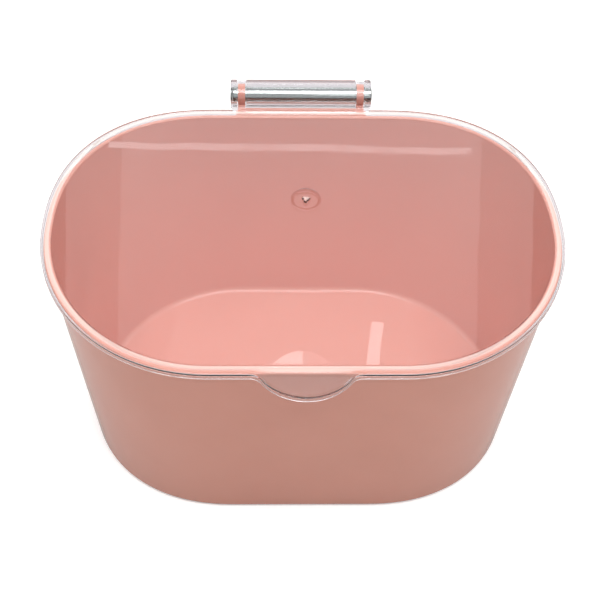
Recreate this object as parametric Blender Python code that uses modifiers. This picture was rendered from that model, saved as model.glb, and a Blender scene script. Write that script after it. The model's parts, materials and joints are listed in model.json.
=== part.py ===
"""Small oval dry-food box: a tapered pink tub, a clear flip lid and a steel hinge rod.

Frame: origin at the centre of the tub's flat underside, +X along the long side,
-Y to the front (finger tab), +Y to the back (hinge), +Z up. Metres.
"""
import math

import bpy
import bmesh
from mathutils import Matrix, Vector

# Driving dimensions of the lid's outer outline: straight front and back, rounded ends.
# Roundness is the power of a superellipse, 2 for an ellipse and more for a squarer corner.
LID_HALF_WIDTH = 0.0700
LID_HALF_DEPTH = 0.0484
LID_STRAIGHT = 0.0242
LID_FRONT_ROUNDNESS = 2.00
LID_BACK_ROUNDNESS = 2.34

# Outer outline of the tub's base.
BASE_HALF_WIDTH = 0.0618
BASE_HALF_DEPTH = 0.0412
BASE_STRAIGHT = 0.0191
BASE_FRONT_ROUNDNESS = 2.20
BASE_BACK_ROUNDNESS = 1.87

# Heights above the underside.
RIM_HEIGHT = 0.07085
SKIRT_BOTTOM = 0.07025
PLATE_BOTTOM = 0.07115
PANEL_TOP = 0.07245
PLATE_TOP = 0.07275
LID_EDGE_TOP = 0.07240

# Tub wall, thickest at the floor, with a small lip outside it at the rim.
WALL = 0.0022
RIM_WALL = 0.0012
RIM_LIP = 0.0004
RIM_LIP_HEIGHT = 0.0010
FLOOR = 0.0021
FLOOR_FILLET = 0.0015
BASE_EDGE_RADIUS = 0.0015
RIM_EDGE_RADIUS = 0.0004

# Lid skirt, its clearance to the tub's rim, and the crowned border round the lid's panel.
SKIRT_WALL = 0.0007
RIM_CLEARANCE = 0.0003
LID_EDGE_RADIUS = 0.0003
PANEL_INSET = 0.00285
CREST_INSET = 0.0019

# Finger tab: an arc that stands out of the straight front, with a blend at each side.
TAB_FRONT = 0.0552
TAB_RADIUS = 0.0140
TAB_BLEND_RADIUS = 0.0036

# Hinge.
AXIS_Y = 0.0544
AXIS_Z = 0.0729
ROD_RADIUS = 0.0022
ROD_LEFT = -0.0202
ROD_RIGHT = 0.0209
ROD_CHAMFER = 0.0007
BORE_RADIUS = 0.0023
BARREL_RADIUS = 0.0043
BARREL_HALF_LENGTH = 0.0206
BARREL_END_RADIUS = 0.0006
EAR_INNER_X = 0.0163
EAR_OUTER_X = 0.0184
EAR_RADIUS = 0.0031
EAR_ROOT_Y = 0.0461
EAR_ROOT_LOW_Z = 0.0625
EAR_NECK_TOP = RIM_HEIGHT - 0.0003
SLOT_CLEARANCE = 0.0003
HOOD_BACK_ANGLE = 38.0
HOOD_FRONT_ANGLE = 208.0
SLOT_REACH = 0.0070
WEB_BOTTOM = 0.0708
WEB_TOP = 0.07245
WEB_FRONT_Y = 0.0480

# Buttress under each ear, the ledge between them, and their notch in the lid's skirt.
BUTTRESS_X = 0.0156
BUTTRESS_HALF_WIDTH = 0.0039
BUTTRESS_Y = 0.0466
BUTTRESS_LOW_Y = 0.0452
BUTTRESS_HALF_DEPTH = 0.0034
BUTTRESS_WALL_SHARE = 0.15
BUTTRESS_LOW_Z = 0.0620
BUTTRESS_LOW_SHARE = 0.25
LEDGE_HALF_LENGTH = (EAR_INNER_X + EAR_OUTER_X) / 2
LEDGE_BACK_Y = 0.0504
LEDGE_TOP = 0.07045
LEDGE_LIP = 0.0008
LEDGE_LOW_Z = 0.0655
NOTCH_CLEARANCE = 0.0003
NOTCH_FRONT_Y = LID_HALF_DEPTH - SKIRT_WALL
NOTCH_BACK_Y = 0.0503
NOTCH_TOP = 0.07095
NOTCH_BELOW_SKIRT = 0.0022

# Smoothness of the facets.
LOBE_STEPS = 16
ROUND_STEPS = 4
FILLET_STEPS = 6
TAB_STEPS = 8
ROUND_SEGMENTS = 48
BARREL_END_STEPS = 3
ROD_CHAMFER_STEPS = 2
SMOOTH_ANGLE = math.radians(35.0)


def clear_scene():
    for item in list(bpy.data.objects):
        bpy.data.objects.remove(item, do_unlink=True)


def new_collection(name):
    collection = bpy.data.collections.new(name)
    bpy.context.scene.collection.children.link(collection)
    return collection


def material(name, colour, roughness, metallic=0.0, transmission=0.0):
    made = bpy.data.materials.new(name)
    made.use_nodes = True
    shader = made.node_tree.nodes["Principled BSDF"]
    shader.inputs["Base Color"].default_value = (*colour, 1.0)
    shader.inputs["Roughness"].default_value = roughness
    shader.inputs["Metallic"].default_value = metallic
    shader.inputs["Transmission Weight"].default_value = transmission
    return made


def mirrored(right_half):
    """Close an outline from its right half, which runs from front centre to back centre."""
    left_half = [(-x, y) for x, y in reversed(right_half[1:-1])]
    return right_half + left_half


def lobe(half_width, half_depth, straight, front_roundness, back_roundness):
    """Right end of an oval, from the front straight round to the back straight."""
    points = []
    for step in range(2 * LOBE_STEPS + 1):
        angle = math.pi * step / (2 * LOBE_STEPS) - math.pi / 2
        roundness = front_roundness if angle < 0 else back_roundness
        reach = abs(math.cos(angle)) ** (2 / roundness)
        side = abs(math.sin(angle)) ** (2 / roundness)
        x = straight + (half_width - straight) * reach
        points.append((x, math.copysign(half_depth * side, angle)))
    return points


def between(low, high, share):
    return low + (high - low) * share


def tub_outline(height, inset):
    """Outline of the tub at a height, moved inwards by the inset."""
    share = height / RIM_HEIGHT
    rim_inset = SKIRT_WALL + RIM_CLEARANCE + RIM_LIP
    half_width = between(BASE_HALF_WIDTH, LID_HALF_WIDTH - rim_inset, share) - inset
    half_depth = between(BASE_HALF_DEPTH, LID_HALF_DEPTH - rim_inset, share) - inset
    end = lobe(half_width, half_depth, between(BASE_STRAIGHT, LID_STRAIGHT, share),
               between(BASE_FRONT_ROUNDNESS, LID_FRONT_ROUNDNESS, share),
               between(BASE_BACK_ROUNDNESS, LID_BACK_ROUNDNESS, share))
    return mirrored([(0.0, -half_depth)] + end + [(0.0, half_depth)])


def tab_curve(inset):
    """Right half of the front edge: the tab's arc, then the blend into the straight."""
    front = LID_HALF_DEPTH - inset
    arc_radius = TAB_RADIUS - inset
    blend_radius = TAB_BLEND_RADIUS + inset
    arc_centre_y = TAB_RADIUS - TAB_FRONT
    blend_centre_y = -front - blend_radius
    drop = arc_centre_y - blend_centre_y
    spread = math.sqrt((arc_radius + blend_radius) ** 2 - drop ** 2)
    sweep = math.atan2(spread, drop)
    points = []
    for step in range(TAB_STEPS + 1):
        angle = sweep * step / TAB_STEPS
        points.append((arc_radius * math.sin(angle), arc_centre_y - arc_radius * math.cos(angle)))
    for step in range(1, TAB_STEPS + 1):
        angle = sweep * (1 - step / TAB_STEPS)
        x = spread - blend_radius * math.sin(angle)
        points.append((x, blend_centre_y + blend_radius * math.cos(angle)))
    return points


def lid_outline(inset, with_tab=True):
    """Outline of the lid, moved inwards by the inset, with or without the finger tab."""
    half_width = LID_HALF_WIDTH - inset
    half_depth = LID_HALF_DEPTH - inset
    front = tab_curve(inset if with_tab else 0.0)
    if not with_tab:
        front = [(x, -half_depth) for x, y in front]
    end = lobe(half_width, half_depth, LID_STRAIGHT, LID_FRONT_ROUNDNESS, LID_BACK_ROUNDNESS)
    return mirrored(front + end + [(0.0, half_depth)])


def loft(name, rings):
    """Closed solid through rings of (outline, height), capped at the first and the last."""
    shape = bmesh.new()
    loops = []
    for outline, height in rings:
        loops.append([shape.verts.new((x, y, height)) for x, y in outline])
    for lower, upper in zip(loops, loops[1:]):
        for index in range(len(lower)):
            after = (index + 1) % len(lower)
            shape.faces.new((lower[index], lower[after], upper[after], upper[index]))
    shape.faces.new(list(reversed(loops[0])))
    shape.faces.new(loops[-1])
    bmesh.ops.recalc_face_normals(shape, faces=shape.faces)
    mesh = bpy.data.meshes.new(name)
    shape.to_mesh(mesh)
    shape.free()
    return bpy.data.objects.new(name, mesh)


def tub_profile():
    """Wall section as (inset, height), from the underside round the rim to the floor."""
    quarter = [math.pi / 2 * step / ROUND_STEPS for step in range(ROUND_STEPS + 1)]
    floor_quarter = [math.pi / 2 * step / FILLET_STEPS for step in range(FILLET_STEPS + 1)]
    base = BASE_EDGE_RADIUS
    edge = RIM_EDGE_RADIUS
    fillet = FLOOR_FILLET
    path = [(base * (1 - math.sin(a)), base * (1 - math.cos(a))) for a in quarter]
    path.append((0.0, RIM_HEIGHT - RIM_LIP_HEIGHT - RIM_LIP))
    path.append((-RIM_LIP, RIM_HEIGHT - RIM_LIP_HEIGHT))
    path += [(edge * (1 - math.cos(a)) - RIM_LIP, RIM_HEIGHT - edge * (1 - math.sin(a)))
             for a in quarter]
    path += [(RIM_WALL - edge * (1 - math.sin(a)), RIM_HEIGHT - edge * (1 - math.cos(a)))
             for a in quarter]
    path += [(WALL + fillet * (1 - math.cos(a)), FLOOR + fillet * (1 - math.sin(a)))
             for a in floor_quarter]
    return path


def flat_prism(name, outline, low_x, high_x):
    """Plate between two X positions whose outline is given as (y, z) points."""
    curve = bpy.data.curves.new(name + "_outline", "CURVE")
    curve.dimensions = "2D"
    curve.fill_mode = "BOTH"
    curve.extrude = (high_x - low_x) / 2
    spline = curve.splines.new("POLY")
    spline.points.add(len(outline) - 1)
    for point, (y, z) in zip(spline.points, outline):
        point.co = (y, z, 0.0, 1.0)
    spline.use_cyclic_u = True
    guide = bpy.data.objects.new(name + "_outline", curve)
    bpy.context.scene.collection.objects.link(guide)
    bpy.context.view_layer.update()
    evaluated = guide.evaluated_get(bpy.context.evaluated_depsgraph_get())
    mesh = bpy.data.meshes.new_from_object(evaluated)
    mesh.name = name
    bpy.data.objects.remove(guide)
    shape = bmesh.new()
    shape.from_mesh(mesh)
    bmesh.ops.remove_doubles(shape, verts=shape.verts, dist=1e-6)
    # The curve lies in XY and is extruded along Z: turn it to YZ along X.
    turn = Matrix(((0, 0, 1, (low_x + high_x) / 2), (1, 0, 0, 0), (0, 1, 0, 0), (0, 0, 0, 1)))
    bmesh.ops.transform(shape, matrix=turn, verts=shape.verts)
    bmesh.ops.recalc_face_normals(shape, faces=shape.faces)
    shape.to_mesh(mesh)
    shape.free()
    return bpy.data.objects.new(name, mesh)


def cylinder_along_x(name, radius, low_x, high_x):
    shape = bmesh.new()
    bmesh.ops.create_cone(shape, cap_ends=True, segments=ROUND_SEGMENTS, radius1=radius,
                          radius2=radius, depth=high_x - low_x)
    bmesh.ops.rotate(shape, verts=shape.verts, matrix=Matrix.Rotation(math.pi / 2, 3, "Y"))
    bmesh.ops.translate(shape, verts=shape.verts,
                        vec=Vector(((low_x + high_x) / 2, AXIS_Y, AXIS_Z)))
    mesh = bpy.data.meshes.new(name)
    shape.to_mesh(mesh)
    shape.free()
    return bpy.data.objects.new(name, mesh)


def block(name, low, high):
    shape = bmesh.new()
    size = [top - bottom for bottom, top in zip(low, high)]
    centre = [(top + bottom) / 2 for bottom, top in zip(low, high)]
    bmesh.ops.create_cube(shape, size=1.0)
    bmesh.ops.scale(shape, verts=shape.verts, vec=size)
    bmesh.ops.translate(shape, verts=shape.verts, vec=centre)
    mesh = bpy.data.meshes.new(name)
    shape.to_mesh(mesh)
    shape.free()
    return bpy.data.objects.new(name, mesh)


def arc(radius, start, end, steps):
    """Points (y, z) on a circle about the hinge axis; degrees, 0 at the back, 90 on top."""
    points = []
    for step in range(steps + 1):
        angle = math.radians(start + (end - start) * step / steps)
        points.append((AXIS_Y + radius * math.cos(angle), AXIS_Z + radius * math.sin(angle)))
    return points


def ear_outline():
    """Round head about the hinge axis, neck running down and forwards to the tub's wall."""
    root_y = EAR_ROOT_Y - AXIS_Y
    root_z = EAR_ROOT_LOW_Z - AXIS_Z
    towards_root = math.atan2(root_z, root_y)
    back_tangent = towards_root + math.acos(EAR_RADIUS / math.hypot(root_y, root_z))
    front_end = 180.0 + math.degrees(math.asin((AXIS_Z - EAR_NECK_TOP) / EAR_RADIUS))
    head = arc(EAR_RADIUS, math.degrees(back_tangent), front_end, ROUND_SEGMENTS // 2)
    return head + [(EAR_ROOT_Y, EAR_NECK_TOP), (EAR_ROOT_Y, EAR_ROOT_LOW_Z)]


def ledge_outline():
    """Ledge behind the rim under the barrel, with an underside that slopes into the wall."""
    return [(EAR_ROOT_Y, LEDGE_TOP), (LEDGE_BACK_Y, LEDGE_TOP),
            (LEDGE_BACK_Y, LEDGE_TOP - LEDGE_LIP), (EAR_ROOT_Y, LEDGE_LOW_Z)]


def slot_outline():
    """Room for an ear inside the barrel: the head's circle, and all that is below the hood."""
    head = arc(EAR_RADIUS + SLOT_CLEARANCE, HOOD_BACK_ANGLE, HOOD_FRONT_ANGLE, ROUND_SEGMENTS // 2)
    below = arc(SLOT_REACH, HOOD_FRONT_ANGLE, HOOD_BACK_ANGLE + 360.0, ROUND_SEGMENTS // 4)
    return head + below


def buttress(name, side):
    """Tapered oval post behind the rim under an ear, whose foot runs out in the wall."""
    height = EAR_NECK_TOP - BUTTRESS_LOW_Z
    shape = bmesh.new()
    bmesh.ops.create_cone(shape, cap_ends=True, segments=ROUND_SEGMENTS // 2,
                          radius1=BUTTRESS_HALF_WIDTH * BUTTRESS_LOW_SHARE,
                          radius2=BUTTRESS_HALF_WIDTH, depth=height)
    bmesh.ops.scale(shape, verts=shape.verts,
                    vec=(1.0, BUTTRESS_HALF_DEPTH / BUTTRESS_HALF_WIDTH, 1.0))
    for vertex in shape.verts:
        if vertex.co.y < 0.0:
            vertex.co.y *= BUTTRESS_WALL_SHARE
        vertex.co.y += between(BUTTRESS_LOW_Y, BUTTRESS_Y, 0.5 + vertex.co.z / height)
    bmesh.ops.translate(shape, verts=shape.verts,
                        vec=(side * BUTTRESS_X, 0.0, BUTTRESS_LOW_Z + height / 2))
    mesh = bpy.data.meshes.new(name)
    shape.to_mesh(mesh)
    shape.free()
    return bpy.data.objects.new(name, mesh)


def combine(target, tool, operation, cutters):
    """Boolean of the tool into the target; the tool is kept in the cutters' collection."""
    cutters.objects.link(tool)
    tool.hide_render = True
    tool.display_type = "WIRE"
    change = target.modifiers.new(operation.lower() + "_" + tool.name, "BOOLEAN")
    change.operation = operation
    change.object = tool


def shade(item):
    item.data.shade_smooth()
    item.data.set_sharp_from_angle(angle=SMOOTH_ANGLE)


def make_tub(parts, cutters):
    rings = [(tub_outline(height, inset), height) for inset, height in tub_profile()]
    tub = loft("tub", rings)
    tub.data.materials.append(material("tub_pink", (0.66, 0.31, 0.25), 0.28))
    shade(tub)
    parts.objects.link(tub)
    ledge = flat_prism("ledge", ledge_outline(), -LEDGE_HALF_LENGTH, LEDGE_HALF_LENGTH)
    combine(tub, ledge, "UNION", cutters)
    for side, word in ((-1, "left"), (1, "right")):
        low_x, high_x = sorted((side * EAR_INNER_X, side * EAR_OUTER_X))
        combine(tub, buttress("buttress_" + word, side), "UNION", cutters)
        combine(tub, flat_prism("ear_" + word, ear_outline(), low_x, high_x), "UNION", cutters)
    reach = BARREL_HALF_LENGTH + SLOT_REACH
    combine(tub, cylinder_along_x("ear_bore", BORE_RADIUS, -reach, reach), "DIFFERENCE", cutters)
    return tub


def lid_rings():
    """Lid section, from the panel over the crowned border and the skirt to the underside."""
    quarter = [math.pi / 2 * step / ROUND_STEPS for step in range(ROUND_STEPS + 1)]
    edge = LID_EDGE_RADIUS
    rings = [(lid_outline(PANEL_INSET, with_tab=False), PANEL_TOP),
             (lid_outline(CREST_INSET, with_tab=False), PLATE_TOP)]
    rings += [(lid_outline(edge * (1 - math.sin(a))), LID_EDGE_TOP - edge * (1 - math.cos(a)))
              for a in quarter]
    rings.append((lid_outline(0.0), SKIRT_BOTTOM))
    rings.append((lid_outline(SKIRT_WALL), SKIRT_BOTTOM))
    rings.append((lid_outline(SKIRT_WALL), PLATE_BOTTOM))
    return rings


def make_lid(parts, cutters):
    lid = loft("lid", lid_rings())
    lid.data.materials.append(material("lid_clear", (0.95, 0.95, 0.95), 0.05, transmission=1.0))
    shade(lid)
    parts.objects.link(lid)
    half = BARREL_HALF_LENGTH
    barrel = cylinder_along_x("barrel", BARREL_RADIUS, -half, half)
    rounding = barrel.modifiers.new("round_ends", "BEVEL")
    rounding.width = BARREL_END_RADIUS
    rounding.segments = BARREL_END_STEPS
    web = block("web", (-half + BARREL_END_RADIUS, WEB_FRONT_Y, WEB_BOTTOM),
                (half - BARREL_END_RADIUS, AXIS_Y, WEB_TOP))
    combine(lid, web, "UNION", cutters)
    combine(lid, barrel, "UNION", cutters)
    notch_half = BUTTRESS_X + BUTTRESS_HALF_WIDTH + NOTCH_CLEARANCE
    notch = block("notch", (-notch_half, NOTCH_FRONT_Y, SKIRT_BOTTOM - NOTCH_BELOW_SKIRT),
                  (notch_half, NOTCH_BACK_Y, NOTCH_TOP))
    combine(lid, notch, "DIFFERENCE", cutters)
    for side, word in ((-1, "left"), (1, "right")):
        low_x, high_x = sorted((side * (EAR_INNER_X - SLOT_CLEARANCE),
                                side * (EAR_OUTER_X + SLOT_CLEARANCE)))
        slot = flat_prism("slot_" + word, slot_outline(), low_x, high_x)
        combine(lid, slot, "DIFFERENCE", cutters)
    reach = half + SLOT_REACH
    combine(lid, cylinder_along_x("lid_bore", BORE_RADIUS, -reach, reach), "DIFFERENCE", cutters)
    return lid


def make_rod(parts):
    rod = cylinder_along_x("hinge_rod", ROD_RADIUS, ROD_LEFT, ROD_RIGHT)
    rod.data.materials.append(material("rod_steel", (0.62, 0.65, 0.63), 0.12, metallic=1.0))
    shade(rod)
    chamfer = rod.modifiers.new("chamfer", "BEVEL")
    chamfer.width = ROD_CHAMFER
    chamfer.segments = ROD_CHAMFER_STEPS
    parts.objects.link(rod)
    return rod


def hang_on_axis(pieces, parts):
    """Parent the lid's pieces to an empty on the hinge axis, without moving them."""
    axis = bpy.data.objects.new("lid_axis", None)
    axis.location = (0.0, AXIS_Y, AXIS_Z)
    parts.objects.link(axis)
    for piece in pieces:
        piece.parent = axis
        piece.matrix_parent_inverse = Matrix.Translation(axis.location).inverted()


def main():
    clear_scene()
    parts = new_collection("rabbit_feeder")
    cutters = new_collection("cutters")
    make_tub(parts, cutters)
    lid = make_lid(parts, cutters)
    rod = make_rod(parts)
    hang_on_axis([lid, rod], parts)


main()
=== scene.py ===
"""Looks of the small oval dry-food box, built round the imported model.

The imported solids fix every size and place. The tub, the lid and the hinge rod are made again
here with fine surfaces, rounded edges and moulding marks, and get their plastics and steel.
Metres, +Z up, -Y to the front (finger tab), +Y to the back (hinge).
"""
import json
import math

import bmesh
import bpy
from mathutils import Matrix, Vector


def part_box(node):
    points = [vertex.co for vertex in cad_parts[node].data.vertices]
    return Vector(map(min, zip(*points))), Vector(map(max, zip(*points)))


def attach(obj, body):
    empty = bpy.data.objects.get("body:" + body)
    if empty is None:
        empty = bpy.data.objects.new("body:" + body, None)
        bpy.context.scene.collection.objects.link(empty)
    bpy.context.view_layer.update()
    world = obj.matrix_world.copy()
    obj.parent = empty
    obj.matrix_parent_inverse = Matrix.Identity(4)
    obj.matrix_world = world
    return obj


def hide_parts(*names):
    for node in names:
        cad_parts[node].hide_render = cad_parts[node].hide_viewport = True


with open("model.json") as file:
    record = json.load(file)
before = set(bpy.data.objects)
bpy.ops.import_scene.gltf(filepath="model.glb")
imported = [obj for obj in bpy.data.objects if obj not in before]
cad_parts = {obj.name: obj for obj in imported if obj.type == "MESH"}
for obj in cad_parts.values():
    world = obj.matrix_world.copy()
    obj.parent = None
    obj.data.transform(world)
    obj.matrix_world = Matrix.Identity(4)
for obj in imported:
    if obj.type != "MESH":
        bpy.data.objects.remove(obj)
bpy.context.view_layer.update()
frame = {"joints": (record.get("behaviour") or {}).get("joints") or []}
LID_LOW, LID_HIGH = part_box("lid")
ROD_LOW, ROD_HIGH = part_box("hinge_rod")
AXIS = Vector(frame["joints"][0]["pos_m"])

# Lid outline. Roundness is the power of a superellipse, 2 for an ellipse.
LID_HALF_WIDTH = LID_HIGH.x
LID_HALF_DEPTH = 0.0484
LID_STRAIGHT = 0.0242
LID_FRONT_ROUNDNESS = 2.00
LID_BACK_ROUNDNESS = 2.34
TAB_FRONT = -LID_LOW.y
TAB_RADIUS = 0.0140
TAB_BLEND_RADIUS = 0.0036

# Base outline of the tub.
BASE_HALF_WIDTH = 0.0618
BASE_HALF_DEPTH = 0.0412
BASE_STRAIGHT = 0.0191
BASE_FRONT_ROUNDNESS = 2.20
BASE_BACK_ROUNDNESS = 1.87

# Heights above the underside.
RIM_HEIGHT = 0.07085
SKIRT_BOTTOM = 0.07025
PLATE_BOTTOM = 0.07115
PANEL_TOP = 0.07245
PLATE_TOP = 0.07275
LID_EDGE_TOP = 0.07240

# Wall sections and their edge roundings.
WALL = 0.0022
RIM_WALL = 0.0012
RIM_LIP = 0.0004
RIM_LIP_HEIGHT = 0.0010
RIM_LIP_ROUNDING = 0.0002
FLOOR = 0.0021
FLOOR_FILLET = 0.0015
BASE_EDGE_RADIUS = 0.0015
RIM_EDGE_RADIUS = 0.0005
SKIRT_WALL = 0.0007
RIM_CLEARANCE = 0.0003
PANEL_INSET = 0.00285
CREST_INSET = 0.0019
CREST_RADIUS = 0.0018
PANEL_EDGE_RADIUS = 0.0004
PLATE_EDGE_RADIUS = 0.00035
SKIRT_EDGE_RADIUS = 0.00015
SKIRT_SHOULDER_RADIUS = PLATE_EDGE_RADIUS * 0.9
FLAT_STUB = 0.0006

# Hinge.
ROD_RADIUS = (ROD_HIGH.z - ROD_LOW.z) / 2
ROD_ROUNDING = 0.0007
BORE_RADIUS = 0.0023
BARREL_RADIUS = LID_HIGH.z - AXIS.z
BARREL_HALF_LENGTH = 0.0206
BARREL_END_RADIUS = 0.0006
EAR_INNER_X = 0.0163
EAR_OUTER_X = 0.0184
EAR_RADIUS = 0.0031
EAR_ROOT_Y = 0.0461
EAR_ROOT_LOW_Z = 0.0625
EAR_NECK_DROP = 0.0003
EAR_NECK_TOP = RIM_HEIGHT - EAR_NECK_DROP
EAR_EDGE = 0.00015
SLOT_CLEARANCE = 0.0003
SLOT_REACH = 0.0070
HOOD_BACK_ANGLE = 38.0
HOOD_FRONT_ANGLE = 208.0
WEB_BOTTOM = 0.0708
WEB_TOP = 0.07245
WEB_FRONT_Y = 0.0480
BUTTRESS_X = 0.0156
BUTTRESS_HALF_WIDTH = 0.0039
BUTTRESS_Y = 0.0466
BUTTRESS_LOW_Y = 0.0452
BUTTRESS_HALF_DEPTH = 0.0034
BUTTRESS_WALL_SHARE = 0.15
BUTTRESS_LOW_Z = 0.0620
BUTTRESS_LOW_SHARE = 0.25
LEDGE_HALF_LENGTH = (EAR_INNER_X + EAR_OUTER_X) / 2
LEDGE_BACK_Y = 0.0504
LEDGE_TOP = 0.07045
LEDGE_LIP = 0.0008
LEDGE_LOW_Z = 0.0655
NOTCH_CLEARANCE = 0.0003
NOTCH_FRONT_Y = LID_HALF_DEPTH - SKIRT_WALL
NOTCH_BACK_Y = 0.0503
NOTCH_TOP = 0.07095
NOTCH_BELOW_SKIRT = 0.0022

# Gate mark left by the mould on top of the lid.
GATE_CENTRE = Vector((0.0008, 0.0117, PANEL_TOP))
GATE_RADIUS = 0.0041
GATE_DEPTH = 0.00030
NUB_RADIUS = 0.0011
NUB_HEIGHT = 0.00028

# Painted sheen: the lid's border is made milky and cream by height above the panel, standing in
# for reflected light on its crown; the torn gate stub gets the same, part whitened plastic and
# part painted glints. It fades out before the hinge and before the tab.
BORDER_SHEEN_SHARE = 0.34
BORDER_SHEEN_TINT = (0.96, 0.90, 0.84)
SHEEN_START = 0.00008
SHEEN_FULL = 0.00018
HINGE_FADE = 0.00018
TAB_FADE = 0.0006

# Fineness of the meshes.
LOBE_STEPS = 48
TAB_STEPS = 20
CORNER_STEPS = 6
ROUND_SEGMENTS = 128
SMOOTH_ANGLE = math.radians(32.0)
SOFT_STEPS = 3
BARREL_END_STEPS = 6
NORMAL_WEIGHT = 80

# Camera.
CAMERA_DISTANCE = 0.42735
CAMERA_ELEVATION = math.radians(49.57)
CAMERA_TURN = math.radians(-2.03)
CAMERA_ROLL = math.radians(1.61)
CAMERA_AIM = Vector((0.00087, 0.03702, 0.0))
CAMERA_LENS = 78.08
SENSOR_WIDTH = 36.0

# Soft surround, and the lamps whose reflections lie on the lid.
BRIGHT_SIDE = (0.0, 0.5, 0.87)
SURROUND_STRENGTH = 1.40
REFLECTED_STRENGTH = 0.55
BACKDROP_THROUGH_CLEAR = (0.86, 0.85, 0.87)
FLOOR_BOUNCE = (0.53, 0.52, 0.51)
FLOOR_THROUGH_CLEAR = (0.64, 0.62, 0.63)
KEY_CENTRE = (0.137, -0.724, 0.851)
KEY_HALF_SIZE = (0.112, 0.31)
KEY_RADIANCE = 2.0
VEIL_CENTRE = (0.035, 1.109, 1.242)
VEIL_HALF_SIZE = (0.27, 0.218)
VEIL_RADIANCE = 1.65
VEIL_EDGE_CENTRE = (0.036, 1.139, 1.275)
VEIL_EDGE_HALF_SIZE = (0.36, 0.224)
VEIL_EDGE_RADIANCE = 1.25
DISC_CENTRE = (0.0349, 0.8376, 1.2789)
DISC_RADIUS = 0.0545
DISC_STEPS = 24
DISC_LEFT_RADIANCE = 3.9
DISC_RIGHT_RADIANCE = 2.1
STRIP_CENTRE = (0.1342, 0.8668, 1.2576)
STRIP_WIDTH = 0.018
STRIP_RISE = 0.025
STRIP_DROP = 0.060
STRIP_RADIANCE = 3.7
BAR_CENTRE = (0.0187, 1.1197, 1.0843)
BAR_LENGTH = 0.514
BAR_WIDTH = 0.009
BAR_RADIANCE = 2.9
LAMP_AIM = (0.0, 0.02, 0.0)
OVERHEAD_PLACE = (0.04, -0.30, 1.08)
OVERHEAD_AIM = (0.0, 0.0, 0.0)
OVERHEAD_SIZE = (0.8, 0.6)
OVERHEAD_POWER = 7.9
PALE_BACKDROP = (0.95, 0.95, 0.95)
FLOOR_GLOW = 0.2
FLOOR_HALF_SIZE = 2.0
FLOOR_TOP = -0.0001
FLOOR_BOTTOM = -0.02


# ---------------------------------------------------------------- outlines and sections

def between(low, high, share):
    return low + (high - low) * share


def mirrored(right_half):
    """Close an outline from its right half, which runs from front centre to back centre."""
    left_half = [(-x, y) for x, y in reversed(right_half[1:-1])]
    return right_half + left_half


def lobe(half_width, half_depth, straight, front_roundness, back_roundness):
    """Right end of an oval, from the front straight round to the back straight."""
    points = []
    for step in range(2 * LOBE_STEPS + 1):
        angle = math.pi * step / (2 * LOBE_STEPS) - math.pi / 2
        roundness = front_roundness if angle < 0 else back_roundness
        reach = abs(math.cos(angle)) ** (2 / roundness)
        side = abs(math.sin(angle)) ** (2 / roundness)
        x = straight + (half_width - straight) * reach
        points.append((x, math.copysign(half_depth * side, angle)))
    return points


def tub_outline(height, inset):
    """Outline of the tub at a height, moved inwards by the inset."""
    share = height / RIM_HEIGHT
    rim_inset = SKIRT_WALL + RIM_CLEARANCE + RIM_LIP
    half_width = between(BASE_HALF_WIDTH, LID_HALF_WIDTH - rim_inset, share) - inset
    half_depth = between(BASE_HALF_DEPTH, LID_HALF_DEPTH - rim_inset, share) - inset
    end = lobe(half_width, half_depth, between(BASE_STRAIGHT, LID_STRAIGHT, share),
               between(BASE_FRONT_ROUNDNESS, LID_FRONT_ROUNDNESS, share),
               between(BASE_BACK_ROUNDNESS, LID_BACK_ROUNDNESS, share))
    return mirrored([(0.0, -half_depth)] + end + [(0.0, half_depth)])


def tab_curve(inset):
    """Right half of the front edge: the tab's arc, then the blend into the straight."""
    arc_radius = TAB_RADIUS - inset
    blend_radius = TAB_BLEND_RADIUS + inset
    arc_centre_y = TAB_RADIUS - TAB_FRONT
    blend_centre_y = -(LID_HALF_DEPTH - inset) - blend_radius
    drop = arc_centre_y - blend_centre_y
    spread = math.sqrt((arc_radius + blend_radius) ** 2 - drop ** 2)
    sweep = math.atan2(spread, drop)
    points = []
    for step in range(TAB_STEPS + 1):
        angle = sweep * step / TAB_STEPS
        points.append((arc_radius * math.sin(angle), arc_centre_y - arc_radius * math.cos(angle)))
    for step in range(1, TAB_STEPS + 1):
        angle = sweep * (1 - step / TAB_STEPS)
        points.append((spread - blend_radius * math.sin(angle),
                       blend_centre_y + blend_radius * math.cos(angle)))
    return points


def lid_outline(inset, with_tab):
    """Outline of the lid, moved inwards by the inset, with or without the finger tab."""
    half_width = LID_HALF_WIDTH - inset
    half_depth = LID_HALF_DEPTH - inset
    front = tab_curve(inset if with_tab else 0.0)
    if not with_tab:
        front = [(x, -half_depth) for x, _ in front]
    end = lobe(half_width, half_depth, LID_STRAIGHT, LID_FRONT_ROUNDNESS, LID_BACK_ROUNDNESS)
    return mirrored(front + end + [(0.0, half_depth)])


def rounded(corners):
    """Section path whose corners (inset, height, radius) are rounded; the two ends stay."""
    path = [corners[0][:2]]
    for before, corner, after in zip(corners, corners[1:], corners[2:]):
        here = Vector(corner[:2])
        back = (Vector(before[:2]) - here).normalized()
        on = (Vector(after[:2]) - here).normalized()
        half = back.angle(on) / 2
        setback = corner[2] / math.tan(half)
        centre = here + (back + on).normalized() * (corner[2] / math.sin(half))
        start = here + back * setback - centre
        end = here + on * setback - centre
        sweep = start.angle_signed(end)
        for step in range(CORNER_STEPS + 1):
            turn = Matrix.Rotation(-sweep * step / CORNER_STEPS, 2)
            path.append(tuple(centre + turn @ start))
    return path + [corners[-1][:2]]


def arc(radius, start, end, steps):
    """Points (y, z) on a circle about the hinge axis; degrees, 0 at the back, 90 on top."""
    points = []
    for step in range(steps + 1):
        angle = math.radians(start + (end - start) * step / steps)
        points.append((AXIS.y + radius * math.cos(angle), AXIS.z + radius * math.sin(angle)))
    return points


# ---------------------------------------------------------------- mesh building

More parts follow.
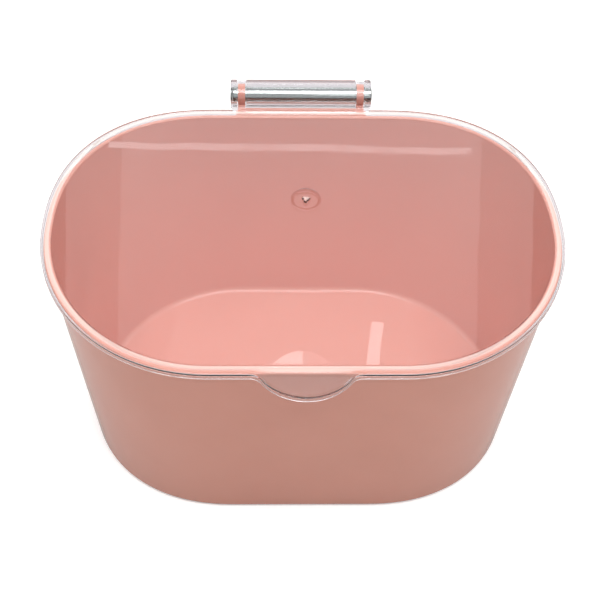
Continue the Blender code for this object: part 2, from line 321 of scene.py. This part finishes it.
def as_object(name, shape):
    bmesh.ops.recalc_face_normals(shape, faces=shape.faces)
    mesh = bpy.data.meshes.new(name)
    shape.to_mesh(mesh)
    shape.free()
    made = bpy.data.objects.new(name, mesh)
    bpy.context.scene.collection.objects.link(made)
    return made


def loft(name, rings):
    """Closed solid through rings of 3-D points, capped at the first and the last."""
    shape = bmesh.new()
    loops = [[shape.verts.new(point) for point in ring] for ring in rings]
    for lower, upper in zip(loops, loops[1:]):
        for index in range(len(lower)):
            after = (index + 1) % len(lower)
            shape.faces.new((lower[index], lower[after], upper[after], upper[index]))
    shape.faces.new(list(reversed(loops[0])))
    shape.faces.new(loops[-1])
    return as_object(name, shape)


def at_height(outline, height):
    return [(x, y, height) for x, y in outline]


def turned(name, profile, place, wobble=None):
    """Turned solid of (along, radius) pairs about the local Z axis, with flat ends."""
    rings = []
    for along, radius in profile:
        ring = []
        for segment in range(ROUND_SEGMENTS):
            angle = 2 * math.pi * segment / ROUND_SEGMENTS
            reach = radius * (wobble(angle, along) if wobble else 1.0)
            ring.append(place @ Vector((reach * math.cos(angle), reach * math.sin(angle), along)))
        rings.append(ring)
    return loft(name, rings)


def along_axis(x=0.0):
    """Place for a turned piece: its own Z runs along the hinge axis."""
    return Matrix.Translation((x, AXIS.y, AXIS.z)) @ Matrix.Rotation(math.pi / 2, 4, "Y")


def prism(name, outline, low_x, high_x):
    return loft(name, [[(x, y, z) for y, z in outline] for x in (low_x, high_x)])


def block(name, low, high):
    corners = [(low[0], low[1]), (high[0], low[1]), (high[0], high[1]), (low[0], high[1])]
    return loft(name, [at_height(corners, low[2]), at_height(corners, high[2])])


def apply_modifiers(piece):
    graph = bpy.context.evaluated_depsgraph_get()
    mesh = bpy.data.meshes.new_from_object(piece.evaluated_get(graph))
    piece.modifiers.clear()
    piece.data = mesh


def soften(piece, width, segments=SOFT_STEPS):
    """Round the sharp edges of a piece."""
    bevel = piece.modifiers.new("soften", "BEVEL")
    bevel.width = width
    bevel.segments = segments
    bevel.limit_method = "ANGLE"
    bevel.angle_limit = SMOOTH_ANGLE
    apply_modifiers(piece)
    return piece


def combine(piece, tool, operation):
    """Boolean of the tool into the piece; the tool is used up."""
    change = piece.modifiers.new("combine", "BOOLEAN")
    change.operation = operation
    change.object = tool
    apply_modifiers(piece)
    bpy.data.objects.remove(tool)


def finish_mesh(piece, material):
    """Smooth shading that keeps flat faces flat, and the piece's only material."""
    piece.data.materials.clear()
    piece.data.materials.append(material)
    piece.data.polygons.foreach_set("material_index", [0] * len(piece.data.polygons))
    piece.data.shade_smooth()
    piece.data.set_sharp_from_angle(angle=SMOOTH_ANGLE)
    weighted = piece.modifiers.new("weighted", "WEIGHTED_NORMAL")
    weighted.keep_sharp = True
    weighted.weight = NORMAL_WEIGHT
    apply_modifiers(piece)


# ---------------------------------------------------------------- pieces

def ear_outline():
    """Round head about the hinge axis, neck running down and forwards to the tub's wall."""
    root_y = EAR_ROOT_Y - AXIS.y
    root_z = EAR_ROOT_LOW_Z - AXIS.z
    towards_root = math.atan2(root_z, root_y)
    back_tangent = towards_root + math.acos(EAR_RADIUS / math.hypot(root_y, root_z))
    front_end = 180.0 + math.degrees(math.asin((AXIS.z - EAR_NECK_TOP) / EAR_RADIUS))
    head = arc(EAR_RADIUS, math.degrees(back_tangent), front_end, ROUND_SEGMENTS // 2)
    return head + [(EAR_ROOT_Y, EAR_NECK_TOP), (EAR_ROOT_Y, EAR_ROOT_LOW_Z)]


def slot_outline():
    """Room for an ear inside the barrel: the head's circle, and all that is below the hood."""
    head = arc(EAR_RADIUS + SLOT_CLEARANCE, HOOD_BACK_ANGLE, HOOD_FRONT_ANGLE,
               ROUND_SEGMENTS // 2)
    below = arc(SLOT_REACH, HOOD_FRONT_ANGLE, HOOD_BACK_ANGLE + 360.0, ROUND_SEGMENTS // 4)
    return head + below


def make_buttress(side):
    """Tapered oval post behind the rim under an ear, whose foot runs out in the wall."""
    rings = []
    for share in (0.0, 1.0):
        size = between(BUTTRESS_LOW_SHARE, 1.0, share)
        height = between(BUTTRESS_LOW_Z, EAR_NECK_TOP, share)
        centre_y = between(BUTTRESS_LOW_Y, BUTTRESS_Y, share)
        ring = []
        for segment in range(ROUND_SEGMENTS // 2):
            angle = 4 * math.pi * segment / ROUND_SEGMENTS
            depth = BUTTRESS_HALF_DEPTH * size * math.sin(angle)
            if depth < 0.0:
                depth *= BUTTRESS_WALL_SHARE
            x = side * BUTTRESS_X + BUTTRESS_HALF_WIDTH * size * math.cos(angle)
            ring.append((x, centre_y + depth, height))
        rings.append(ring)
    return loft("buttress", rings)


def make_tub(material):
    section = rounded([
        (2 * BASE_EDGE_RADIUS, 0.0),
        (0.0, 0.0, BASE_EDGE_RADIUS),
        (0.0, RIM_HEIGHT - RIM_LIP_HEIGHT - RIM_LIP, RIM_LIP_ROUNDING),
        (-RIM_LIP, RIM_HEIGHT - RIM_LIP_HEIGHT, RIM_LIP_ROUNDING),
        (-RIM_LIP, RIM_HEIGHT, RIM_EDGE_RADIUS),
        (RIM_WALL, RIM_HEIGHT, RIM_EDGE_RADIUS),
        (WALL, FLOOR, FLOOR_FILLET),
        (WALL + 2 * FLOOR_FILLET, FLOOR)])
    tub = loft("tub_shell", [at_height(tub_outline(z, inset), z) for inset, z in section])
    ledge = prism("ledge", [(EAR_ROOT_Y, LEDGE_TOP), (LEDGE_BACK_Y, LEDGE_TOP),
                            (LEDGE_BACK_Y, LEDGE_TOP - LEDGE_LIP), (EAR_ROOT_Y, LEDGE_LOW_Z)],
                  -LEDGE_HALF_LENGTH, LEDGE_HALF_LENGTH)
    combine(tub, soften(ledge, EAR_EDGE), "UNION")
    for side in (-1, 1):
        low_x, high_x = sorted((side * EAR_INNER_X, side * EAR_OUTER_X))
        combine(tub, make_buttress(side), "UNION")
        ear = soften(prism("ear", ear_outline(), low_x, high_x), EAR_EDGE)
        combine(tub, ear, "UNION")
    reach = BARREL_HALF_LENGTH + SLOT_REACH
    bore = turned("ear_bore", [(-reach, BORE_RADIUS), (reach, BORE_RADIUS)], along_axis())
    combine(tub, bore, "DIFFERENCE")
    finish_mesh(tub, material)
    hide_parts("tub")
    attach(tub, "tub_body")


def lid_rings():
    """Lid section, from the panel over the crowned border and the skirt to the underside."""
    border = rounded([
        (PANEL_INSET + FLAT_STUB, PANEL_TOP),
        (PANEL_INSET, PANEL_TOP, PANEL_EDGE_RADIUS),
        (CREST_INSET, PLATE_TOP, CREST_RADIUS),
        (PLATE_EDGE_RADIUS, LID_EDGE_TOP)])[:-1]
    skirt = rounded([
        (PLATE_EDGE_RADIUS, LID_EDGE_TOP),
        (0.0, LID_EDGE_TOP, SKIRT_SHOULDER_RADIUS),
        (0.0, SKIRT_BOTTOM, SKIRT_EDGE_RADIUS),
        (SKIRT_WALL, SKIRT_BOTTOM, SKIRT_EDGE_RADIUS),
        (SKIRT_WALL, PLATE_BOTTOM, SKIRT_EDGE_RADIUS),
        (SKIRT_WALL + FLAT_STUB, PLATE_BOTTOM)])
    rings = [at_height(lid_outline(inset, False), z) for inset, z in border]
    return rings + [at_height(lid_outline(inset, True), z) for inset, z in skirt]


def make_gate_mark(lid):
    """Shallow dish with the snapped-off stub of the sprue in its middle."""
    dish = [(-GATE_DEPTH, GATE_RADIUS * 0.78), (-GATE_DEPTH * 0.9, GATE_RADIUS * 0.84),
            (-GATE_DEPTH * 0.5, GATE_RADIUS * 0.93), (-GATE_DEPTH * 0.1, GATE_RADIUS * 0.99),
            (0.0, GATE_RADIUS), (GATE_DEPTH, GATE_RADIUS * 1.02)]
    place = Matrix.Translation(GATE_CENTRE)
    combine(lid, turned("gate_dish", dish, place), "DIFFERENCE")

    def torn(angle, along):
        return 1.0 + 0.22 * math.sin(3 * angle + 0.6) + 0.12 * math.sin(7 * angle + 9000 * along)

    stub = [(-2 * GATE_DEPTH, NUB_RADIUS), (-GATE_DEPTH * 0.6, NUB_RADIUS * 0.95),
            (NUB_HEIGHT * 0.2, NUB_RADIUS * 0.8), (NUB_HEIGHT * 0.8, NUB_RADIUS * 0.6),
            (NUB_HEIGHT, NUB_RADIUS * 0.35)]
    combine(lid, turned("gate_stub", stub, place, torn), "UNION")


def make_lid(material):
    lid = loft("lid_shell", lid_rings())
    half = BARREL_HALF_LENGTH
    web = block("web", (-half + BARREL_END_RADIUS, WEB_FRONT_Y, WEB_BOTTOM),
                (half - BARREL_END_RADIUS, AXIS.y, WEB_TOP))
    combine(lid, web, "UNION")
    barrel = turned("barrel", [(-half, BARREL_RADIUS), (half, BARREL_RADIUS)], along_axis())
    combine(lid, soften(barrel, BARREL_END_RADIUS, BARREL_END_STEPS), "UNION")
    notch_half = BUTTRESS_X + BUTTRESS_HALF_WIDTH + NOTCH_CLEARANCE
    notch = block("notch", (-notch_half, NOTCH_FRONT_Y, SKIRT_BOTTOM - NOTCH_BELOW_SKIRT),
                  (notch_half, NOTCH_BACK_Y, NOTCH_TOP))
    combine(lid, notch, "DIFFERENCE")
    for side in (-1, 1):
        low_x, high_x = sorted((side * (EAR_INNER_X - SLOT_CLEARANCE),
                                side * (EAR_OUTER_X + SLOT_CLEARANCE)))
        combine(lid, prism("slot", slot_outline(), low_x, high_x), "DIFFERENCE")
    reach = half + SLOT_REACH
    bore = turned("lid_bore", [(-reach, BORE_RADIUS), (reach, BORE_RADIUS)], along_axis())
    combine(lid, bore, "DIFFERENCE")
    make_gate_mark(lid)
    finish_mesh(lid, material)
    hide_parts("lid")
    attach(lid, "lid_body")


def make_rod(material):
    """Ground steel pin with rounded ends."""
    middle = (ROD_LOW.x + ROD_HIGH.x) / 2
    half = (ROD_HIGH.x - ROD_LOW.x) / 2
    profile = []
    for step in range(CORNER_STEPS + 1):
        angle = math.pi / 2 * step / CORNER_STEPS
        profile.append((-half + ROD_ROUNDING * (1 - math.cos(angle)),
                        ROD_RADIUS - ROD_ROUNDING * (1 - math.sin(angle))))
    profile += [(-along, radius) for along, radius in reversed(profile)]
    rod = turned("hinge_pin", profile, along_axis(middle))
    finish_mesh(rod, material)
    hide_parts("hinge_rod")
    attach(rod, "lid_body")


# ---------------------------------------------------------------- materials

def new_material(name):
    made = bpy.data.materials.new(name)
    made.use_nodes = True
    return made, made.node_tree, made.node_tree.nodes["Principled BSDF"]


def noise(tree, scale, detail=3.0, stretch=(1.0, 1.0, 1.0)):
    """Noise over the piece's own coordinates; scale is features per metre."""
    where = tree.nodes.new("ShaderNodeTexCoord")
    mapping = tree.nodes.new("ShaderNodeMapping")
    mapping.inputs["Scale"].default_value = stretch
    texture = tree.nodes.new("ShaderNodeTexNoise")
    texture.inputs["Scale"].default_value = scale
    texture.inputs["Detail"].default_value = detail
    tree.links.new(where.outputs["Object"], mapping.inputs["Vector"])
    tree.links.new(mapping.outputs["Vector"], texture.inputs["Vector"])
    return texture.outputs["Fac"]


def spread(tree, value, low, high, from_low=0.3, from_high=0.7):
    """The value, stretched from its usual span to low..high."""
    node = tree.nodes.new("ShaderNodeMapRange")
    node.inputs["From Min"].default_value = from_low
    node.inputs["From Max"].default_value = from_high
    node.inputs["To Min"].default_value = low
    node.inputs["To Max"].default_value = high
    tree.links.new(value, node.inputs["Value"])
    return node.outputs["Result"]


def product(tree, first, second):
    node = tree.nodes.new("ShaderNodeMath")
    node.operation = "MULTIPLY"
    tree.links.new(first, node.inputs[0])
    tree.links.new(second, node.inputs[1])
    return node.outputs["Value"]


def blend(tree, share, first, second):
    """Shader that is the first where the share is 0 and the second where it is 1."""
    node = tree.nodes.new("ShaderNodeMixShader")
    tree.links.new(share, node.inputs["Fac"])
    tree.links.new(first, node.inputs[1])
    tree.links.new(second, node.inputs[2])
    return node.outputs["Shader"]


def ramp(tree, value, stops):
    node = tree.nodes.new("ShaderNodeValToRGB")
    node.color_ramp.elements[0].position = stops[0][0]
    node.color_ramp.elements[0].color = (*stops[0][1], 1.0)
    node.color_ramp.elements[1].position = stops[-1][0]
    node.color_ramp.elements[1].color = (*stops[-1][1], 1.0)
    for position, colour in stops[1:-1]:
        node.color_ramp.elements.new(position).color = (*colour, 1.0)
    tree.links.new(value, node.inputs["Fac"])
    return node.outputs["Color"]


def bump(tree, heights):
    """Chain of bumps from (value, distance in metres, strength)."""
    normal = None
    for value, distance, strength in heights:
        node = tree.nodes.new("ShaderNodeBump")
        node.inputs["Distance"].default_value = distance
        node.inputs["Strength"].default_value = strength
        tree.links.new(value, node.inputs["Height"])
        if normal is not None:
            tree.links.new(normal, node.inputs["Normal"])
        normal = node.outputs["Normal"]
    return normal


def pink_plastic():
    """Opaque moulded plastic: faint mottling, satin gloss, orange peel and rub marks."""
    made, tree, shader = new_material("pink_plastic")
    mottling = noise(tree, 45.0, 4.0)
    colour = ramp(tree, mottling, [(0.30, (0.716, 0.322, 0.246)), (0.70, (0.741, 0.339, 0.261))])
    tree.links.new(colour, shader.inputs["Base Color"])
    rub = noise(tree, 120.0, 5.0)
    tree.links.new(spread(tree, rub, 0.05, 0.10), shader.inputs["Roughness"])
    peel = noise(tree, 700.0, 2.0)
    swell = noise(tree, 40.0, 1.0)
    normal = bump(tree, [(swell, 0.0004, 0.06), (peel, 0.00001, 0.05)])
    tree.links.new(normal, shader.inputs["Normal"])
    shader.inputs["Subsurface Weight"].default_value = 0.08
    shader.inputs["Subsurface Radius"].default_value = (0.0024, 0.0011, 0.0009)
    shader.inputs["Subsurface Scale"].default_value = 1.0
    shader.inputs["IOR"].default_value = 1.49
    return made


def clear_plastic():
    """Clear moulded plastic, milky and cream on its crowned border as a painted sheen. Lamps and
    diffuse light pass.
    """
    made, tree, shader = new_material("clear_plastic")
    shader.inputs["IOR"].default_value = 1.53
    where = tree.nodes.new("ShaderNodeTexCoord")
    split = tree.nodes.new("ShaderNodeSeparateXYZ")
    tree.links.new(where.outputs["Object"], split.inputs["Vector"])
    # painted sheen: milky share rising with height above the panel, on the border and the gate stub
    raised = spread(tree, split.outputs["Z"], 0.0, BORDER_SHEEN_SHARE, PANEL_TOP + SHEEN_START,
                    PANEL_TOP + SHEEN_FULL)
    before_hinge = spread(tree, split.outputs["Y"], 1.0, 0.0, LID_HALF_DEPTH,
                          LID_HALF_DEPTH + HINGE_FADE)
    behind_tab = spread(tree, split.outputs["Y"], 0.0, 1.0, -LID_HALF_DEPTH,
                        -LID_HALF_DEPTH + TAB_FADE)
    painted_sheen = product(tree, product(tree, raised, before_hinge), behind_tab)
    # painted sheen's cream tint, and less transmission where it lies
    sheen_tint = ramp(tree, painted_sheen, [(0.0, (0.975, 0.965, 0.975)), (BORDER_SHEEN_SHARE, BORDER_SHEEN_TINT)])
    tree.links.new(sheen_tint, shader.inputs["Base Color"])
    clarity = tree.nodes.new("ShaderNodeMath")
    clarity.operation = "SUBTRACT"
    clarity.inputs[0].default_value = 1.0
    tree.links.new(painted_sheen, clarity.inputs[1])
    tree.links.new(clarity.outputs["Value"], shader.inputs["Transmission Weight"])
    handling = noise(tree, 140.0, 6.0)
    tree.links.new(spread(tree, handling, 0.0, 0.035, 0.42, 0.72), shader.inputs["Roughness"])
    swell = noise(tree, 38.0, 1.0)
    normal = bump(tree, [(swell, 0.0004, 0.05)])
    tree.links.new(normal, shader.inputs["Normal"])
    path = tree.nodes.new("ShaderNodeLightPath")
    either = tree.nodes.new("ShaderNodeMath")
    either.operation = "MAXIMUM"
    tree.links.new(path.outputs["Is Shadow Ray"], either.inputs[0])
    tree.links.new(path.outputs["Is Diffuse Ray"], either.inputs[1])
    open_way = tree.nodes.new("ShaderNodeBsdfTransparent")
    open_way.inputs["Color"].default_value = (0.93, 0.92, 0.93, 1.0)
    surface = blend(tree, either.outputs["Value"], shader.outputs["BSDF"], open_way.outputs["BSDF"])
    tree.links.new(surface, tree.nodes["Material Output"].inputs["Surface"])
    depth = tree.nodes.new("ShaderNodeVolumeAbsorption")
    depth.inputs["Color"].default_value = (0.83, 0.80, 0.82, 1.0)
    depth.inputs["Density"].default_value = 120.0
    tree.links.new(depth.outputs["Volume"], tree.nodes["Material Output"].inputs["Volume"])
    return made


def polished_steel():
    """Ground and polished pin: fine grinding rings round it, and light handling scratches."""
    made, tree, shader = new_material("polished_steel")
    shader.inputs["Metallic"].default_value = 1.0
    tone = noise(tree, 500.0, 3.0, (6.0, 1.0, 1.0))
    colour = ramp(tree, tone, [(0.3, (0.36, 0.41, 0.39)), (0.7, (0.46, 0.51, 0.49))])
    tree.links.new(colour, shader.inputs["Base Color"])
    rings = noise(tree, 1200.0, 4.0, (9.0, 1.0, 1.0))
    tree.links.new(spread(tree, rings, 0.06, 0.16), shader.inputs["Roughness"])
    tree.links.new(bump(tree, [(rings, 0.00001, 0.2)]), shader.inputs["Normal"])
    return made


def pale_floor():
    """Pale where it is seen, a little less so through the clear plastic; grey as a bounce."""
    made, tree, shader = new_material("pale_floor")
    tone = noise(tree, 14.0, 3.0)
    colour = ramp(tree, tone, [(0.3, (0.93, 0.93, 0.93)), (0.7, (0.95, 0.95, 0.95))])
    tree.links.new(colour, shader.inputs["Base Color"])
    shader.inputs["Roughness"].default_value = 0.9
    shader.inputs["Emission Color"].default_value = (1.0, 1.0, 1.0, 1.0)
    shader.inputs["Emission Strength"].default_value = FLOOR_GLOW
    table = tree.nodes.new("ShaderNodeBsdfDiffuse")
    table.inputs["Color"].default_value = (*FLOOR_BOUNCE, 1.0)
    beyond = tree.nodes.new("ShaderNodeBsdfDiffuse")
    beyond.inputs["Color"].default_value = (*FLOOR_THROUGH_CLEAR, 1.0)
    path = tree.nodes.new("ShaderNodeLightPath")
    unseen = blend(tree, path.outputs["Is Transmission Ray"], table.outputs["BSDF"],
                   beyond.outputs["BSDF"])
    surface = blend(tree, path.outputs["Is Camera Ray"], unseen, shader.outputs["BSDF"])
    tree.links.new(surface, tree.nodes["Material Output"].inputs["Surface"])
    return made


# ---------------------------------------------------------------- stage, light and camera

def make_floor(material):
    corners = oblong(FLOOR_HALF_SIZE, FLOOR_HALF_SIZE)
    floor = loft("floor", [at_height(corners, FLOOR_BOTTOM), at_height(corners, FLOOR_TOP)])
    floor.data.materials.append(material)


def make_camera():
    turn = CAMERA_TURN
    tilt = CAMERA_ELEVATION
    forward = Vector((-math.sin(turn) * math.cos(tilt), math.cos(turn) * math.cos(tilt),
                      -math.sin(tilt)))
    level = Vector((math.cos(turn), math.sin(turn), 0.0))
    upright = level.cross(forward)
    right = level * math.cos(CAMERA_ROLL) + upright * math.sin(CAMERA_ROLL)
    up = upright * math.cos(CAMERA_ROLL) - level * math.sin(CAMERA_ROLL)
    data = bpy.data.cameras.new("camera")
    data.lens = CAMERA_LENS
    data.sensor_width = SENSOR_WIDTH
    data.clip_start = 0.01
    camera = bpy.data.objects.new("camera", data)
    turned_to = Matrix((right, up, -forward)).transposed().to_4x4()
    camera.matrix_world = Matrix.Translation(CAMERA_AIM - forward * CAMERA_DISTANCE) @ turned_to
    bpy.context.scene.collection.objects.link(camera)
    bpy.context.scene.camera = camera


def area_light(name, location, aim, width, height, power):
    data = bpy.data.lights.new(name, "AREA")
    data.shape = "RECTANGLE"
    data.size = width
    data.size_y = height
    data.energy = power
    light = bpy.data.objects.new(name, data)
    light.location = location
    light.rotation_euler = (Vector(aim) - Vector(location)).to_track_quat("-Z", "Y").to_euler()
    light.visible_camera = False
    bpy.context.scene.collection.objects.link(light)
    return light


def glow_panel(name, outline, centre, aim, radiance):
    """Flat glowing reflector, an outline (right, up) in metres as the object sees it."""
    facing = (Vector(aim) - Vector(centre)).normalized()
    right = facing.cross(Vector((0.0, 0.0, 1.0))).normalized()
    up = right.cross(facing)
    shape = bmesh.new()
    corners = [Vector(centre) - right * x + up * y for x, y in outline]
    shape.faces.new([shape.verts.new(corner) for corner in corners])
    panel = as_object(name, shape)
    made = bpy.data.materials.new(name)
    made.use_nodes = True
    tree = made.node_tree
    glow = tree.nodes.new("ShaderNodeEmission")
    glow.inputs["Strength"].default_value = radiance
    tree.links.new(glow.outputs["Emission"], tree.nodes["Material Output"].inputs["Surface"])
    panel.data.materials.append(made)
    panel.visible_camera = False
    panel.visible_diffuse = False
    panel.visible_shadow = False


def oblong(half_width, half_height):
    return [(-half_width, -half_height), (half_width, -half_height),
            (half_width, half_height), (-half_width, half_height)]


def make_world():
    """Soft surround, bright above and behind, dimmer where it is mirrored; pale backdrop."""
    world = bpy.data.worlds.new("surround")
    world.use_nodes = True
    tree = world.node_tree
    where = tree.nodes.new("ShaderNodeTexCoord")
    along = tree.nodes.new("ShaderNodeVectorMath")
    along.operation = "DOT_PRODUCT"
    along.inputs[1].default_value = BRIGHT_SIDE
    tree.links.new(where.outputs["Generated"], along.inputs[0])
    colour = ramp(tree, spread(tree, along.outputs["Value"], 0.0, 1.0, -0.5, 1.0),
                  [(0.0, (0.04, 0.04, 0.04)), (0.33, (0.14, 0.14, 0.14)),
                   (0.67, (0.75, 0.75, 0.75)), (1.0, (1.00, 1.00, 1.00))])
    tree.nodes["Background"].inputs["Strength"].default_value = SURROUND_STRENGTH
    tree.links.new(colour, tree.nodes["Background"].inputs["Color"])
    backdrop = tree.nodes.new("ShaderNodeBackground")
    backdrop.inputs["Color"].default_value = (*PALE_BACKDROP, 1.0)
    seen = tree.nodes.new("ShaderNodeBackground")
    seen.inputs["Strength"].default_value = REFLECTED_STRENGTH
    tree.links.new(colour, seen.inputs["Color"])
    through = tree.nodes.new("ShaderNodeBackground")
    through.inputs["Color"].default_value = (*BACKDROP_THROUGH_CLEAR, 1.0)
    path = tree.nodes.new("ShaderNodeLightPath")
    shader = tree.nodes["Background"].outputs["Background"]
    for ray, background in (("Is Glossy Ray", seen), ("Is Transmission Ray", through),
                            ("Is Camera Ray", backdrop)):
        shader = blend(tree, path.outputs[ray], shader, background.outputs["Background"])
    tree.links.new(shader, tree.nodes["World Output"].inputs["Surface"])
    bpy.context.scene.world = world


def make_lights():
    overhead = area_light("overhead", OVERHEAD_PLACE, OVERHEAD_AIM, *OVERHEAD_SIZE, OVERHEAD_POWER)
    overhead.visible_glossy = False
    glow_panel("key_panel", oblong(*KEY_HALF_SIZE), KEY_CENTRE, AXIS, KEY_RADIANCE)
    glow_panel("veil_panel", oblong(*VEIL_HALF_SIZE), VEIL_CENTRE, LAMP_AIM, VEIL_RADIANCE)
    glow_panel("veil_edge", oblong(*VEIL_EDGE_HALF_SIZE), VEIL_EDGE_CENTRE, LAMP_AIM,
               VEIL_EDGE_RADIANCE)
    for name, start, radiance in (("disc_lamp_left", 90, DISC_LEFT_RADIANCE),
                                  ("disc_lamp_right", -90, DISC_RIGHT_RADIANCE)):
        outline = []
        for step in range(DISC_STEPS + 1):
            angle = math.radians(start + 180 * step / DISC_STEPS)
            outline.append((DISC_RADIUS * math.cos(angle), DISC_RADIUS * math.sin(angle)))
        glow_panel(name, outline, DISC_CENTRE, LAMP_AIM, radiance)
    half = STRIP_WIDTH / 2
    strip = [(-half, -STRIP_DROP), (half, -STRIP_DROP), (half, STRIP_RISE), (-half, STRIP_RISE)]
    glow_panel("strip_lamp", strip, STRIP_CENTRE, LAMP_AIM, STRIP_RADIANCE)
    glow_panel("bar_lamp", oblong(BAR_LENGTH / 2, BAR_WIDTH / 2), BAR_CENTRE, LAMP_AIM,
               BAR_RADIANCE)


def main():
    bpy.context.scene.view_settings.view_transform = "Standard"
    make_camera()
    make_world()
    make_lights()
    make_floor(pale_floor())
    make_tub(pink_plastic())
    make_lid(clear_plastic())
    make_rod(polished_steel())


main()
